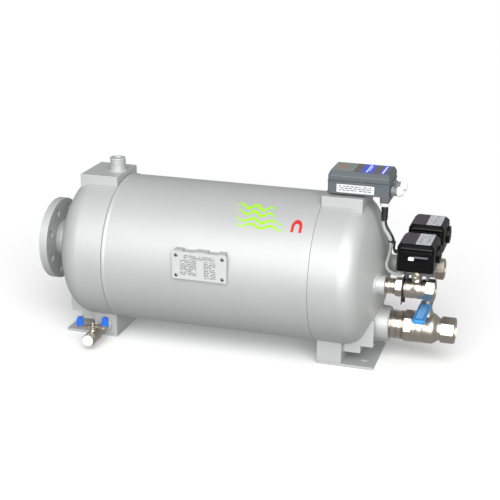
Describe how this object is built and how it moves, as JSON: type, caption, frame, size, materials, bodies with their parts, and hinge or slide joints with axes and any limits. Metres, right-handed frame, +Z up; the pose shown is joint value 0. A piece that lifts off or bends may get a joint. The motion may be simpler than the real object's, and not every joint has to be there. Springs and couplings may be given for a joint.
{
  "type": "magnetic system filter",
  "caption": "Horizontal pressure-vessel magnetic filter with flanged inlet, motorised flush valves, hand-turned outlet valve, drain valve and controller.",
  "frame": {"origin": "centre of the bounding box at the bottom of the foot plates", "axes": "+X along the vessel from the flanged inlet to the valves, +Y to the back, +Z up"},
  "size_m": [0.9266, 0.335, 0.4225],
  "materials": {
    "paint": "satin silver-grey enamel",
    "nickel": "bright nickel plate over brass",
    "steel": "stainless, fine brushed",
    "magnet": "sintered magnet stack, nickel flash",
    "blue_handle": "blue vinyl over steel",
    "grey_plastic": "slate-grey moulded plastic, fine texture",
    "white_plastic": "white moulded nylon",
    "black_plastic": "black moulded plastic, satin",
    "charcoal_plastic": "charcoal moulded plastic, fine texture",
    "grey_lead": "grey PVC sheath",
    "circuit_board": "green solder mask"
  },
  "bodies": {
    "vessel": {"shell": "paint", "left_head": "paint", "right_head": "paint", "inlet_neck": "paint", "inlet_flange": "paint", "left_top_block": "paint", "right_top_block": "paint", "vent_socket": "paint", "left_foot_plate": "paint", "right_foot_plate": "paint", "left_foot_box": "paint", "right_foot_box": "paint", "left_cradle": "paint", "right_cradle": "paint", "drain_pipe": "paint", "plate_bracket": "paint", "lower_socket": "paint", "front_socket": "paint", "rear_socket": "paint", "drain_valve_body": "nickel", "lower_nipple": "nickel", "lower_valve_body": "nickel", "front_nipple": "nickel", "rear_nipple": "nickel", "front_valve_body": "nickel", "rear_valve_body": "nickel", "vent_plug": "steel", "nameplate": "steel", "magnet_support": "steel", "front_magnet_sleeve": "steel", "rear_magnet_sleeve": "steel", "filter_screen": "steel", "front_magnet_core": "magnet", "rear_magnet_core": "magnet", "controller_base": "grey_plastic", "controller_lid": "grey_plastic", "front_bracket": "grey_plastic", "rear_bracket": "grey_plastic", "drain_cap": "white_plastic", "bottom_gland": "white_plastic", "side_gland_front": "white_plastic", "side_gland_rear": "white_plastic", "front_housing": "black_plastic", "rear_housing": "black_plastic", "cable_boot": "black_plastic", "front_lead": "black_plastic", "front_cover": "charcoal_plastic", "rear_cover": "charcoal_plastic", "rear_lead": "grey_lead", "controller_board": "circuit_board"},
    "lower_valve": {"lower_ball": "steel", "lower_stem": "nickel", "lower_lever": "blue_handle"},
    "drain_valve": {"drain_ball": "steel", "drain_stem": "nickel", "drain_handle": "blue_handle"},
    "front_valve": {"front_ball": "steel"},
    "front_indicator": {"front_knob": "white_plastic"},
    "rear_valve": {"rear_ball": "steel"},
    "rear_indicator": {"rear_knob": "white_plastic"}
  },
  "joints": [
    {"name": "lower_valve_turn", "type": "hinge", "parent": "vessel", "child": "lower_valve", "pos_m": [0.40025, 0.0055, 0.0825], "axis": [0, 0, 1], "range_deg": [0, 90]},
    {"name": "drain_valve_turn", "type": "hinge", "parent": "vessel", "child": "drain_valve", "pos_m": [-0.31375, -0.1365, 0.0255], "axis": [0, 0, 1], "range_deg": [-15, 75]},
    {"name": "front_valve_turn", "type": "hinge", "parent": "vessel", "child": "front_valve", "pos_m": [0.38625, -0.0625, 0.1945], "axis": [0, 0, 1], "range_deg": [0, 90]},
    {"name": "front_indicator_slide", "type": "slide", "parent": "vessel", "child": "front_indicator", "axis": [1, 0, 0], "range_m": [0, 0.0285]},
    {"name": "rear_valve_turn", "type": "hinge", "parent": "vessel", "child": "rear_valve", "pos_m": [0.38625, 0.0735, 0.1945], "axis": [0, 0, 1], "range_deg": [0, 90]},
    {"name": "rear_indicator_slide", "type": "slide", "parent": "vessel", "child": "rear_indicator", "axis": [1, 0, 0], "range_m": [0, 0.0285]}
  ],
  "couplings": [
    {"joint": "front_indicator_slide", "follows": "front_valve_turn", "m_per_rad": 0.018},
    {"joint": "rear_indicator_slide", "follows": "rear_valve_turn", "m_per_rad": 0.018}
  ]
}
